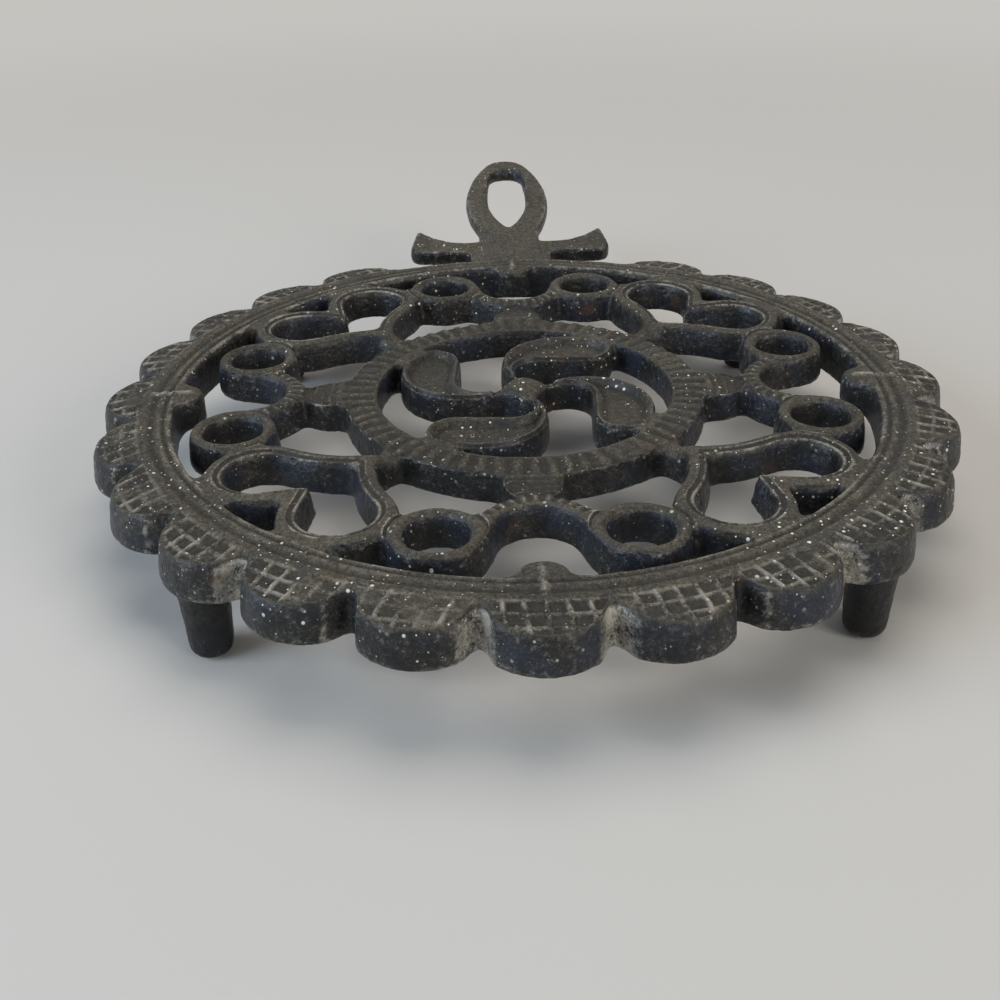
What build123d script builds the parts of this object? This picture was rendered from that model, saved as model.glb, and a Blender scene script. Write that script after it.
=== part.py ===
from build123d import *
from math import acos, asin, atan, atan2, cos, degrees, hypot, radians, sin, sqrt, tan
import os

# A cast iron trivet: a round openwork plate on four peg feet, with a hanging handle at the back.
# The casting is split into its members, which meet face to face where the iron runs on.
# Millimetres, +Z up, the table at z = 0, the handle towards +Y, the viewer towards -Y.

# How far two members run into each other before one is cut to the face of the other
WELD_DEPTH = 0.4

# Rim: a turned band with a bead, a ridge and two grooves on its top
FOOT_HEIGHT = 13.8
RIM_THICKNESS = 9.0
RIM_OUTER = 75.4
RIM_WIDTH = 6.8
RIM_BEAD_WIDTH = 1.7
RIM_FINE_GROOVE = 0.7
RIM_RIDGE_WIDTH = 1.3
RIM_GROOVE = 1.3
RIM_FINE_DEPTH = 0.45
RIM_GROOVE_DEPTH = 0.9
RIM_EDGE = 0.7
RIM_TAB_RADIUS = 4.8

# Scallops: a border of rounded lobes that leaves room for the handle
SCALLOP_COUNT = 24
SCALLOPS_LEFT_OUT = 3
SCALLOP_REACH = 8.2
SCALLOP_VALLEY = 1.72
SCALLOP_FALL = 1.0
SCALLOP_FLARE = 1.2
SCALLOP_TOP_ROUND = 1.5
SCALLOP_BOTTOM_ROUND = 1.0

# Lattice between the rim and the hub
LATTICE_THICKNESS = 7.3
EYELET_RISE = 0.3
EYELET_OUTER = 8.3
EYELET_RIM_GAP = 2.3
EYELET_HOLE = 5.5
EYELET_EDGE = 0.5
HEART_LENGTH = 24.2
HEART_TIP_HALF_ANGLE = 45.0
HEART_LOBE_OFFSET = 10.35
HEART_LOBE = 6.7
HEART_STRIP = 3.8
HEART_CUSP_DEPTH = 14.4
HEART_NECK_WIDTH = 3.8
HEART_NECK_DROP = 1.6
ARCH_OUTER = 11.7
ARCH_BAND = 3.9

# Hub and the whirl of four leaves inside it
HUB_OUTER = 36.0
HUB_WIDTH = 7.0
HUB_DROP = 0.5
HUB_TAB_RADIUS = 5.6
BOSS_RADIUS = 4.5
BOSS_RISE = 0.6
BOSS_ROUND = 1.6
LEAF_ANGLE = 54.0
LEAF_HEAD = 6.2
LEAF_BACK_GAP = 0.7
LEAF_TAIL_BITE = 2.8
LEAF_TAIL_WIDTH = 1.9
LEAF_BITE = 4.8
LEAF_BITE_ANGLE = 160.0
LEAF_BORDER = 1.3
LEAF_DISH = 1.5

# Feet
FOOT_OUTSET = 3.0
FOOT_ROOT = 9.4
FOOT_TIP = 8.0
FOOT_ROUND = 1.8

# Handle: a flat casting that climbs from the rim, measured along its own slope
HANDLE_SLOPE = 11.3
HANDLE_DROP = 2.0
HANDLE_THICKNESS = 4.6
STEM_WIDTH = 21.4
STEM_LENGTH = 12.8
WING_SPAN = 53.6
WING_TIP_SPAN = 48.6
WING_FRONT = 6.8
WING_TIP = 21.0
WING_REAR_RADIUS = 15.0
WING_CORNER = 3.4
WING_TIP_ROUND = 1.2
LOOP_REACH = 59.3
LOOP_WIDTH = 23.0
LOOP_WIDEST = 35.3
LOOP_END_RADIUS = 7.0
LOOP_BASE_WIDTH = 16.4
LOOP_EDGE = 1.0
LOOP_ROOT_WALL = 7.9
LOOP_SIDE_WALL = 6.6
LOOP_END_WALL = 7.0
HOLE_SHIFT = 1.7
HOLE_NARROWING = 0.7

# Circles that follow, each from the member that it meets
RIM_INNER = RIM_OUTER - RIM_WIDTH
EYELET_CIRCLE = RIM_INNER - EYELET_RIM_GAP - EYELET_OUTER
HEART_CUSP = RIM_INNER - HEART_CUSP_DEPTH
HEART_TIP = RIM_INNER - HEART_LENGTH
HUB_INNER = HUB_OUTER - HUB_WIDTH
FOOT_CIRCLE = RIM_OUTER + FOOT_OUTSET

# The hanging hole, from the iron left around it
HOLE_START = STEM_LENGTH + LOOP_ROOT_WALL
HOLE_END = LOOP_REACH - LOOP_END_WALL
HOLE_WIDTH = LOOP_WIDTH - 2 * LOOP_SIDE_WALL
HOLE_WIDEST = LOOP_WIDEST + HOLE_SHIFT
HOLE_END_RADIUS = HOLE_WIDTH / 2 - HOLE_NARROWING

# A scallop's circle runs through its tip and the valleys on its two sides
SCALLOP_PITCH = 360 / SCALLOP_COUNT
SCALLOP_TIP = RIM_OUTER + SCALLOP_REACH
VALLEY_CIRCLE = RIM_OUTER + SCALLOP_VALLEY
VALLEY_ALONG = VALLEY_CIRCLE * cos(radians(SCALLOP_PITCH / 2))
SCALLOP_CIRCLE = (SCALLOP_TIP**2 - VALLEY_CIRCLE**2) / (2 * (SCALLOP_TIP - VALLEY_ALONG))
SCALLOP_RADIUS = SCALLOP_TIP - SCALLOP_CIRCLE
SCALLOP_SKIRT = SCALLOP_TIP + SCALLOP_FLARE

# Heights that follow
RIM_BOTTOM = FOOT_HEIGHT
RIM_TOP = RIM_BOTTOM + RIM_THICKNESS
LATTICE_BOTTOM = RIM_TOP - LATTICE_THICKNESS
HUB_BOTTOM = LATTICE_BOTTOM - HUB_DROP
HANDLE_TOP = RIM_TOP - HANDLE_DROP

# The plate's centre, so that the origin lies under the middle of the whole trivet
HANDLE_END = (
    RIM_OUTER
    + LOOP_REACH * cos(radians(HANDLE_SLOPE))
    + HANDLE_THICKNESS * sin(radians(HANDLE_SLOPE))
)
PLATE_Y = (SCALLOP_SKIRT - HANDLE_END) / 2

# Heart lobes bite into the rim, eyelets into the lobes, and the hub's tabs into the arches
QUARTER = 90.0
DIAGONAL = QUARTER / 2
LOBE_OUTER = HEART_LOBE + HEART_STRIP
LOBE_CIRCLE = RIM_INNER - LOBE_OUTER + WELD_DEPTH
LOBE_RADIAL = sqrt(LOBE_CIRCLE**2 - HEART_LOBE_OFFSET**2)
LOBE_ANGLE = degrees(asin(HEART_LOBE_OFFSET / LOBE_CIRCLE))
EYELET_TO_LOBE = EYELET_OUTER + LOBE_OUTER - WELD_DEPTH
EYELET_LOBE_ANGLE = degrees(
    acos((EYELET_CIRCLE**2 + LOBE_CIRCLE**2 - EYELET_TO_LOBE**2) / (2 * EYELET_CIRCLE * LOBE_CIRCLE))
)
EYELET_ANGLE = DIAGONAL - LOBE_ANGLE - EYELET_LOBE_ANGLE
ARCH_CENTRE = EYELET_CIRCLE * cos(radians(EYELET_ANGLE))
ARCH_INNER = ARCH_OUTER - ARCH_BAND
HUB_TAB_CIRCLE = ARCH_CENTRE - ARCH_OUTER - HUB_TAB_RADIUS + WELD_DEPTH

SIDES = {"right": 0, "back": 90, "left": 180, "front": 270}
CORNERS = {"back_right": 45, "back_left": 135, "front_left": 225, "front_right": 315}


def spoke(angle, height):
    """A level plane at the plate's centre whose X axis runs outwards along one radius."""
    along = (cos(radians(angle)), sin(radians(angle)), 0)
    return Plane(origin=(0, PLATE_Y, height), x_dir=along, z_dir=(0, 0, 1))


def at_angle(centre, radius, angle):
    """The point of a circle at an angle in degrees."""
    return (centre[0] + radius * cos(radians(angle)), centre[1] + radius * sin(radians(angle)))


def direction(start, end):
    """The angle in degrees of the way from one point to another."""
    return degrees(atan2(end[1] - start[1], end[0] - start[0]))


def keep(piece, name):
    """Label a finished member and write it to its own file."""
    piece.label = name
    export_step(piece, f"parts/{name}.step")


# Rim band


def rim_section():
    """The section of the band, in a plane with X outwards and Y up."""
    section_plane = Plane(origin=(0, PLATE_Y, 0), x_dir=(1, 0, 0), z_dir=(0, -1, 0))
    fine_start = RIM_INNER + RIM_BEAD_WIDTH
    fine_end = fine_start + RIM_FINE_GROOVE
    groove_start = fine_end + RIM_RIDGE_WIDTH
    groove_end = groove_start + RIM_GROOVE
    with BuildSketch(section_plane) as section:
        with BuildLine():
            Polyline(
                (RIM_INNER, RIM_BOTTOM),
                (RIM_OUTER, RIM_BOTTOM),
                (RIM_OUTER, RIM_TOP),
                (groove_end, RIM_TOP),
                ((groove_start + groove_end) / 2, RIM_TOP - RIM_GROOVE_DEPTH),
                (groove_start, RIM_TOP),
                (fine_end, RIM_TOP),
                ((fine_start + fine_end) / 2, RIM_TOP - RIM_FINE_DEPTH),
                (fine_start, RIM_TOP),
                (RIM_INNER + RIM_EDGE, RIM_TOP),
                (RIM_INNER, RIM_TOP - RIM_EDGE),
                close=True,
            )
        make_face()
    return section.sketch


def rim_band():
    """The turned band, with a half-round tab on its inner edge at each quarter."""
    with BuildPart() as band:
        revolve(rim_section(), axis=Axis((0, PLATE_Y, 0), (0, 0, 1)))
        with BuildSketch(spoke(0, LATTICE_BOTTOM)):
            with PolarLocations(RIM_INNER, len(SIDES)):
                Circle(RIM_TAB_RADIUS)
            Circle(RIM_INNER + RIM_BEAD_WIDTH, mode=Mode.INTERSECT)
        extrude(amount=LATTICE_THICKNESS)
    return band.part


# Scalloped border


def scallop(angle):
    """One lobe of the border: its top falls outwards, its wall flares and its edges are cast round."""
    half_wedge = SCALLOP_SKIRT * tan(radians(SCALLOP_PITCH / 2))
    blank_height = RIM_THICKNESS + SCALLOP_REACH
    skirt_radius = SCALLOP_RADIUS + SCALLOP_FLARE
    blank_radius = skirt_radius - SCALLOP_FLARE * blank_height / RIM_THICKNESS
    fall = degrees(atan(SCALLOP_FALL / (SCALLOP_TIP - RIM_OUTER)))
    base = spoke(angle, RIM_TOP)
    lean = base.x_dir * sin(radians(fall)) + base.z_dir * cos(radians(fall))
    top = Plane(origin=base.origin + base.x_dir * RIM_OUTER, x_dir=base.y_dir, z_dir=lean)
    with BuildPart() as lobe:
        with Locations(spoke(angle, RIM_BOTTOM).from_local_coords((SCALLOP_CIRCLE, 0))):
            Cone(skirt_radius, blank_radius, blank_height, align=(Align.CENTER, Align.CENTER, Align.MIN))
        split(bisect_by=top, keep=Keep.BOTTOM)
        fillet(lobe.faces().sort_by(Axis.Z)[-1].edges(), radius=SCALLOP_TOP_ROUND)
        fillet(lobe.faces().sort_by(Axis.Z)[0].edges(), radius=SCALLOP_BOTTOM_ROUND)
        with BuildSketch(spoke(angle, RIM_BOTTOM)):
            with BuildLine():
                Polyline((0, 0), (SCALLOP_SKIRT, -half_wedge), (SCALLOP_SKIRT, half_wedge), close=True)
            make_face()
            Circle(RIM_OUTER, mode=Mode.SUBTRACT)
        extrude(amount=RIM_THICKNESS, mode=Mode.INTERSECT)
    return lobe.part


# Lattice


def heart_outline(growth):
    """A heart that points at the plate's centre, grown outwards by the given width."""
    lobe = (LOBE_RADIAL, HEART_LOBE_OFFSET)
    # The hollow side leaves the tip at the half angle and ends tangent to the lobe's circle
    normal = (-sin(radians(HEART_TIP_HALF_ANGLE)), cos(radians(HEART_TIP_HALF_ANGLE)))
    to_tip = (HEART_TIP - lobe[0], -lobe[1])
    slack = HEART_LOBE - normal[0] * to_tip[0] - normal[1] * to_tip[1]
    hollow = (to_tip[0] ** 2 + to_tip[1] ** 2 - HEART_LOBE**2) / (2 * slack)
    centre = (HEART_TIP + normal[0] * hollow, normal[1] * hollow)
    side_radius = hollow - growth
    side_start = degrees(asin(-centre[1] / side_radius))
    side_end = direction(centre, lobe)
    # The cusp's straight side touches the lobe's circle, and growth shifts it outwards
    cusp_angle = direction((HEART_CUSP, 0), lobe) - degrees(
        asin(HEART_LOBE / hypot(lobe[0] - HEART_CUSP, lobe[1]))
    )
    cusp = (HEART_CUSP + growth / sin(radians(cusp_angle)), 0)
    lobe_radius = HEART_LOBE + growth
    lobe_start = side_end + 180
    lobe_end = cusp_angle - 90
    with BuildSketch(Plane.XY) as outline:
        with BuildLine():
            CenterArc(centre, side_radius, side_start, side_end - side_start)
            CenterArc(lobe, lobe_radius, lobe_start, lobe_end - lobe_start)
            Line(at_angle(lobe, lobe_radius, lobe_end), cusp)
            mirror(about=Plane.XZ)
        make_face()
    return outline.sketch


def heart(angle):
    """An open heart, held to the hub by a lower neck at its tip and run into the rim at its two lobes."""
    outer = heart_outline(HEART_STRIP)
    inner = heart_outline(0)
    with BuildPart() as ring:
        with BuildSketch(spoke(angle, LATTICE_BOTTOM)):
            add(outer)
            Circle(RIM_INNER, mode=Mode.INTERSECT)
            Circle(HUB_OUTER, mode=Mode.SUBTRACT)
            add(inner, mode=Mode.SUBTRACT)
        extrude(amount=LATTICE_THICKNESS)
        with BuildSketch(spoke(angle, LATTICE_BOTTOM)):
            Rectangle(HEART_TIP, HEART_NECK_WIDTH, align=(Align.MIN, Align.CENTER))
            Circle(HUB_OUTER, mode=Mode.SUBTRACT)
            add(inner, mode=Mode.SUBTRACT)
        extrude(amount=LATTICE_THICKNESS - HEART_NECK_DROP)
    return ring.part


def eyelet(angle, lobe_side):
    """A ring on the eyelet circle, cut to the lobe of the heart on its given side."""
    lobe = at_angle((0, 0), LOBE_CIRCLE, lobe_side * EYELET_LOBE_ANGLE)
    with BuildPart() as ring:
        with BuildSketch(spoke(angle, LATTICE_BOTTOM)):
            with Locations((EYELET_CIRCLE, 0)):
                Circle(EYELET_OUTER)
                Circle(EYELET_HOLE, mode=Mode.SUBTRACT)
            with Locations(lobe):
                Circle(LOBE_OUTER, mode=Mode.SUBTRACT)
        extrude(amount=LATTICE_THICKNESS + EYELET_RISE)
        mouth = ring.faces().sort_by(Axis.Z)[-1].inner_wires()
        chamfer(mouth.edges(), length=EYELET_EDGE)
    return ring.part


def arch(angle):
    """A half ring that bows towards the hub and ties a pair of eyelets together."""
    with BuildPart() as bow:
        with BuildSketch(spoke(angle, LATTICE_BOTTOM)):
            with Locations((ARCH_CENTRE, 0)):
                Circle(ARCH_OUTER)
                Circle(ARCH_INNER, mode=Mode.SUBTRACT)
                Rectangle(ARCH_OUTER, 2 * ARCH_OUTER, align=(Align.MAX, Align.CENTER), mode=Mode.INTERSECT)
            with Locations(
                at_angle((0, 0), EYELET_CIRCLE, EYELET_ANGLE), at_angle((0, 0), EYELET_CIRCLE, -EYELET_ANGLE)
            ):
                Circle(EYELET_OUTER, mode=Mode.SUBTRACT)
            with Locations((HUB_TAB_CIRCLE, 0)):
                Circle(HUB_TAB_RADIUS, mode=Mode.SUBTRACT)
        extrude(amount=LATTICE_THICKNESS)
    return bow.part


# Hub and whirl


def hub_ring():
    """The ring round the whirl, with a rounded tab that reaches each arch."""
    with BuildPart() as ring:
        with BuildSketch(spoke(0, HUB_BOTTOM)):
            Circle(HUB_OUTER)
            with PolarLocations(HUB_TAB_CIRCLE, len(SIDES)):
                Circle(HUB_TAB_RADIUS)
                Rectangle(HUB_TAB_CIRCLE, 2 * HUB_TAB_RADIUS, align=(Align.MAX, Align.CENTER))
            Circle(HUB_INNER, mode=Mode.SUBTRACT)
        extrude(amount=LATTICE_THICKNESS)
    return ring.part


def leaf_outline(inset):
    """A comma-shaped leaf with its head on the X axis, drawn in from its edge by the inset."""
    head = (HUB_INNER - LEAF_HEAD + WELD_DEPTH, 0)
    tail_start = BOSS_RADIUS - LEAF_TAIL_BITE
    back_radius = (HUB_INNER - LEAF_BACK_GAP - tail_start) / 2
    back = (tail_start + back_radius, 0)
    bite = at_angle(back, back_radius - LEAF_TAIL_WIDTH - LEAF_BITE, LEAF_BITE_ANGLE)
    # The belly is the straight line that touches the bite's circle above and the head's below
    reach = hypot(head[0] - bite[0], head[1] - bite[1])
    touch = direction(bite, head) + degrees(acos((LEAF_BITE + LEAF_HEAD) / reach))
    with BuildSketch(Plane.XY) as outline:
        with Locations(back):
            Circle(back_radius - inset)
        with BuildLine():
            Polyline(
                (0, 0),
                bite,
                at_angle(bite, LEAF_BITE + inset, touch),
                at_angle(head, LEAF_HEAD - inset, touch + 180),
                head,
                (HUB_INNER, 0),
                (HUB_INNER, -HUB_INNER),
                (0, -HUB_INNER),
                close=True,
            )
        make_face(mode=Mode.SUBTRACT)
        with Locations(bite):
            Circle(LEAF_BITE + inset, mode=Mode.SUBTRACT)
        with Locations(head):
            Circle(LEAF_HEAD - inset)
        Circle(HUB_INNER, mode=Mode.INTERSECT)
        Circle(BOSS_RADIUS + inset, mode=Mode.SUBTRACT)
    return outline.sketch


def whirl_leaf(angle):
    """One leaf of the whirl, dished inside a raised border."""
    outer = leaf_outline(0)
    dish = leaf_outline(LEAF_BORDER)
    with BuildPart() as leaf:
        with BuildSketch(spoke(angle, HUB_BOTTOM)):
            add(outer)
        extrude(amount=LATTICE_THICKNESS)
        with BuildSketch(spoke(angle, HUB_BOTTOM + LATTICE_THICKNESS)):
            add(dish)
        extrude(amount=-LEAF_DISH, mode=Mode.SUBTRACT)
    return leaf.part


def whirl_boss():
    """The button that the four leaf tails run into."""
    with BuildPart() as boss:
        with BuildSketch(spoke(0, HUB_BOTTOM)):
            Circle(BOSS_RADIUS)
        extrude(amount=LATTICE_THICKNESS + BOSS_RISE)
        fillet(boss.edges().sort_by(Axis.Z)[-1], radius=BOSS_ROUND)
    return boss.part


# Feet


def foot(angle):
    """A tapered peg under the rim, round at its end with a flat to stand on."""
    with BuildPart() as peg:
        with Locations(spoke(angle, 0).from_local_coords((FOOT_CIRCLE, 0))):
            Cone(FOOT_TIP / 2, FOOT_ROOT / 2, FOOT_HEIGHT, align=(Align.CENTER, Align.CENTER, Align.MIN))
        fillet(peg.edges().sort_by(Axis.Z)[0], radius=FOOT_ROUND)
    return peg.part


# Handle


def handle_plane():
    """The handle's sloping top face, with X across, Y up the slope and its origin at the rim."""
    return Plane(
        origin=(0, PLATE_Y + RIM_OUTER, HANDLE_TOP),
        x_dir=(1, 0, 0),
        z_dir=(0, -sin(radians(HANDLE_SLOPE)), cos(radians(HANDLE_SLOPE))),
    )


def handle_stem():
    """The root of the handle, cut to the outside of the rim."""
    rim_sink = RIM_OUTER - sqrt(RIM_OUTER**2 - (STEM_WIDTH / 2) ** 2)
    stem_run = STEM_LENGTH + rim_sink + HANDLE_THICKNESS
    with BuildPart() as stem:
        with BuildSketch(handle_plane()):
            with Locations((0, STEM_LENGTH)):
                Rectangle(STEM_WIDTH, stem_run, align=(Align.CENTER, Align.MAX))
        extrude(amount=-HANDLE_THICKNESS)
        with BuildSketch(spoke(0, RIM_BOTTOM)):
            Circle(RIM_OUTER)
        extrude(amount=RIM_THICKNESS, mode=Mode.SUBTRACT)
    return stem.part


def handle_wing(side):
    """A fluke beside the stem: hollow behind, with a long cut end and a pointed tip."""
    root = STEM_WIDTH / 2
    tip = (WING_TIP_SPAN / 2, WING_TIP)
    with BuildPart() as wing:
        with BuildSketch(handle_plane()) as outline:
            with BuildLine():
                Polyline((root, STEM_LENGTH), (root, WING_FRONT), (WING_SPAN / 2, WING_FRONT), tip)
                RadiusArc(tip, (root, STEM_LENGTH), WING_REAR_RADIUS)
            make_face()
            fillet(outline.vertices().sort_by(Axis.X)[-1], radius=WING_CORNER)
            fillet(outline.vertices().sort_by(Axis.Y)[-1], radius=WING_TIP_ROUND)
            if side < 0:
                mirror(about=Plane.YZ, mode=Mode.REPLACE)
        extrude(amount=-HANDLE_THICKNESS)
    return wing.part


def loop_outline():
    """The loop's outer edge: two long arcs that narrow to a round end and a straight base."""
    half = LOOP_WIDTH / 2
    base = LOOP_BASE_WIDTH / 2
    end = (0, LOOP_REACH - LOOP_END_RADIUS)
    rise = end[1] - LOOP_WIDEST
    side_radius = (half**2 + rise**2 - LOOP_END_RADIUS**2) / (2 * (half - LOOP_END_RADIUS))
    centre = (half - side_radius, LOOP_WIDEST)
    side_start = -degrees(acos((base - centre[0]) / side_radius))
    side_end = direction(centre, end)
    with BuildSketch(Plane.XY) as outline:
        with BuildLine():
            Line((0, STEM_LENGTH), (base, STEM_LENGTH))
            Line((base, STEM_LENGTH), at_angle(centre, side_radius, side_start))
            CenterArc(centre, side_radius, side_start, side_end - side_start)
            CenterArc(end, LOOP_END_RADIUS, side_end, QUARTER - side_end)
            mirror(about=Plane.YZ)
        make_face()
    return outline.sketch


def loop_hole():
    """The teardrop to hang it by: a point near the stem, a round far end."""
    half = HOLE_WIDTH / 2
    end = (0, HOLE_END - HOLE_END_RADIUS)
    fall = HOLE_WIDEST - HOLE_START
    rise = end[1] - HOLE_WIDEST
    near_radius = (half**2 + fall**2) / (2 * half)
    far_radius = (half**2 + rise**2 - HOLE_END_RADIUS**2) / (2 * (half - HOLE_END_RADIUS))
    near = (half - near_radius, HOLE_WIDEST)
    far = (half - far_radius, HOLE_WIDEST)
    near_start = -degrees(asin(fall / near_radius))
    far_end = direction(far, end)
    with BuildSketch(Plane.XY) as outline:
        with BuildLine():
            CenterArc(near, near_radius, near_start, -near_start)
            CenterArc(far, far_radius, 0, far_end)
            CenterArc(end, HOLE_END_RADIUS, far_end, QUARTER - far_end)
            mirror(about=Plane.YZ)
        make_face()
    return outline.sketch


def hanging_loop():
    """The loop behind the stem, with its free edges taken off."""
    outline = loop_outline()
    hole = loop_hole()
    with BuildPart() as loop:
        with BuildSketch(handle_plane()):
            add(outline)
            add(hole, mode=Mode.SUBTRACT)
        extrude(amount=-HANDLE_THICKNESS)
        flats = loop.faces().filter_by(Axis(handle_plane().origin, handle_plane().z_dir))
        root = loop.faces().sort_by(Axis.Y)[0]
        free_edges = [edge for edge in flats.edges() if edge not in root.edges()]
        chamfer(free_edges, length=LOOP_EDGE)
    return loop.part


os.makedirs("parts", exist_ok=True)

keep(rim_band(), "rim_band")
keep(hub_ring(), "hub_ring")
keep(whirl_boss(), "whirl_boss")

first_scallop = QUARTER + SCALLOP_PITCH * (SCALLOPS_LEFT_OUT + 1) / 2
for number in range(SCALLOP_COUNT - SCALLOPS_LEFT_OUT):
    keep(scallop(first_scallop + number * SCALLOP_PITCH), f"scallop_{number + 1:02d}")

for name, angle in CORNERS.items():
    keep(heart(angle), f"heart_{name}")
    keep(foot(angle), f"foot_{name}")

for name, angle in SIDES.items():
    keep(arch(angle), f"arch_{name}")
    keep(eyelet(angle - EYELET_ANGLE, -1), f"eyelet_{name}_a")
    keep(eyelet(angle + EYELET_ANGLE, 1), f"eyelet_{name}_b")
    keep(whirl_leaf(angle + LEAF_ANGLE), f"whirl_leaf_{name}")

keep(handle_stem(), "handle_stem")
keep(handle_wing(-1), "handle_wing_left")
keep(handle_wing(1), "handle_wing_right")
keep(hanging_loop(), "hanging_loop")
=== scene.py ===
# %% [markdown]
# # A cast iron trivet
# The real trivet is one sand casting: a scalloped border, hearts and rings round a whirl, four feet and
# a handle to hang it by. Its members run into each other with soft fillets, and its finish is dull black
# iron with worn edges and kitchen dust. The solids of the frame hold the sizes. This lesson grows one
# skin over all of them, carves the ornament into it and then cuts it back into the separate members.

# %% Load the frame
from math import cos, hypot, pi, radians, sin, tan

import bmesh
import bpy
import numpy as np
from mathutils import Matrix, Vector


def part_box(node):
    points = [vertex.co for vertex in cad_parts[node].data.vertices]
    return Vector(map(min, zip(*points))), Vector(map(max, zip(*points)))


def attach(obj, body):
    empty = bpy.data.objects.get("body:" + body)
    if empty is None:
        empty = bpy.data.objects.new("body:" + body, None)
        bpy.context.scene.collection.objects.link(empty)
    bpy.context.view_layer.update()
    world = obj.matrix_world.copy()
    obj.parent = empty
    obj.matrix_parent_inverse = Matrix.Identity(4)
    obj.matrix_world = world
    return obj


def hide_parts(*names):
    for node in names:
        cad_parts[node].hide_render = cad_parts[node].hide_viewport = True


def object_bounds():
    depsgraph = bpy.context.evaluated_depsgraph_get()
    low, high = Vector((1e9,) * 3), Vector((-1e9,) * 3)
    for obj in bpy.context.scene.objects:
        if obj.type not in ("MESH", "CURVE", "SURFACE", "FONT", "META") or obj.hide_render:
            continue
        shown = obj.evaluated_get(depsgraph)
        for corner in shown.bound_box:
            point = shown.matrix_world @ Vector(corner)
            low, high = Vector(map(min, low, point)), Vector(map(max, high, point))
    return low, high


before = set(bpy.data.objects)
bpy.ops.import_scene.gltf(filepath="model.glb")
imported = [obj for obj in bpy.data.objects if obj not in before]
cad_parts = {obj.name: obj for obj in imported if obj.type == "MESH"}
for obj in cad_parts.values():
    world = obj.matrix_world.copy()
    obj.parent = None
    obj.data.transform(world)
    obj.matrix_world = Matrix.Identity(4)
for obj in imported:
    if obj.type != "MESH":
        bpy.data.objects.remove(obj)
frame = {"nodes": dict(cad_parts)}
cad_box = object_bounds()
nodes = frame["nodes"]
print(f"{len(nodes)} members in a box from {cad_box[0]} to {cad_box[1]}")

# %% [markdown]
# ## Measures
# Every size comes from the frame's own boxes where one can be read there. The few that a box doesn't show,
# such as the inner edge of a ring, are written here once, in millimetres.

# %% Measures
MM = 0.001
hub_low, hub_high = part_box("hub_ring")
rim_low, rim_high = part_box("rim_band")
front_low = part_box("scallop_11")[0]
plate_centre = (hub_low + hub_high) / 2
plate_centre.z = rim_high.z
RIM_OUTER = (rim_high.x - rim_low.x) / 2 / MM
RIM_INNER = RIM_OUTER - 6.8
SCALLOP_FLARE = 1.2
SCALLOP_TIP = (plate_centre.y - front_low.y) / MM - SCALLOP_FLARE
SCALLOP_PITCH = 15.0
SCALLOP_CIRCLE = 72.93
SCALLOP_RADIUS = SCALLOP_TIP - SCALLOP_CIRCLE
HANDLE_ANGLE, HANDLE_HALF = 90.0, 22.5
HUB_OUTER, HUB_INNER = 36.0, 29.0
QUARTER = 90.0
TO_DEGREES, TO_RADIANS = 180 / pi, pi / 180
print(f"rim {RIM_OUTER:.2f} mm, scallop tips {SCALLOP_TIP:.2f} mm from the middle")

# %% [markdown]
# ## Camera
# The camera stands low over the near edge and looks a little past the middle of the plate. Its angles were
# found by matching the ring of scallops and eyelets, so the plate lands where the photograph has it.

# %% Camera
LENS = 44.49
SENSOR = 36.0
CAMERA_DISTANCE = 248.42 * MM
CAMERA_ELEVATION, CAMERA_YAW = radians(24.7535), radians(2.30366)
CAMERA_PAN, CAMERA_TILT, CAMERA_ROLL = radians(-1.171404), radians(5.485264), radians(0.5855376)
EYELET_RISE = 0.3 * MM


def photo_camera():
    """A camera at the photograph's place, aimed by elevation, then turned a little off the middle."""
    data = bpy.data.cameras.new("photo_camera")
    data.lens = LENS
    data.sensor_width = SENSOR
    camera = bpy.data.objects.new("photo_camera", data)
    bpy.context.scene.collection.objects.link(camera)
    aim = Matrix.Rotation(CAMERA_ROLL, 3, "Z") @ Matrix.Rotation(CAMERA_TILT, 3, "X")
    aim = aim @ Matrix.Rotation(CAMERA_PAN, 3, "Y")
    turn = Matrix.Rotation(-CAMERA_YAW, 3, "Z")
    stand = Vector((0, -cos(CAMERA_ELEVATION), sin(CAMERA_ELEVATION))) * CAMERA_DISTANCE
    rotation = turn @ Matrix.Rotation(pi / 2 - CAMERA_ELEVATION, 3, "X") @ aim.transposed()
    target = plate_centre + Vector((0, 0, EYELET_RISE))
    camera.matrix_world = Matrix.Translation(target + turn @ stand) @ rotation.to_4x4()
    bpy.context.scene.camera = camera
    return camera


camera = photo_camera()
print("camera at", [round(v, 4) for v in camera.location])

# %% [markdown]
# ## Writing node trees as sums
# Both the carving and the finish are made of node maths. Added one by one, the Math nodes would hide the
# sum that they stand for. A small class wraps a socket instead, so that a sum in Python adds its nodes.

# %% A socket for sums


class Wire:
    """An output socket that can be used in sums."""

    def __init__(self, tree, socket):
        self.tree = tree
        self.socket = socket

    def __add__(self, other):
        return self.tree.maths("ADD", self, other)

    def __radd__(self, other):
        return self.tree.maths("ADD", other, self)

    def __sub__(self, other):
        return self.tree.maths("SUBTRACT", self, other)

    def __rsub__(self, other):
        return self.tree.maths("SUBTRACT", other, self)

    def __mul__(self, other):
        return self.tree.maths("MULTIPLY", self, other)

    def __rmul__(self, other):
        return self.tree.maths("MULTIPLY", other, self)

    def __truediv__(self, other):
        return self.tree.maths("DIVIDE", self, other)

    def __rtruediv__(self, other):
        return self.tree.maths("DIVIDE", other, self)

    def __pow__(self, other):
        return self.tree.maths("POWER", self, other)

    def __neg__(self):
        return self.tree.maths("MULTIPLY", self, -1)

    def __abs__(self):
        return self.tree.maths("ABSOLUTE", self)


# %% [markdown]
# Every other node comes from one method, which takes the node's type, its settings and what goes into its
# sockets. The methods after it are the small groups of nodes that come up again and again.

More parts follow.
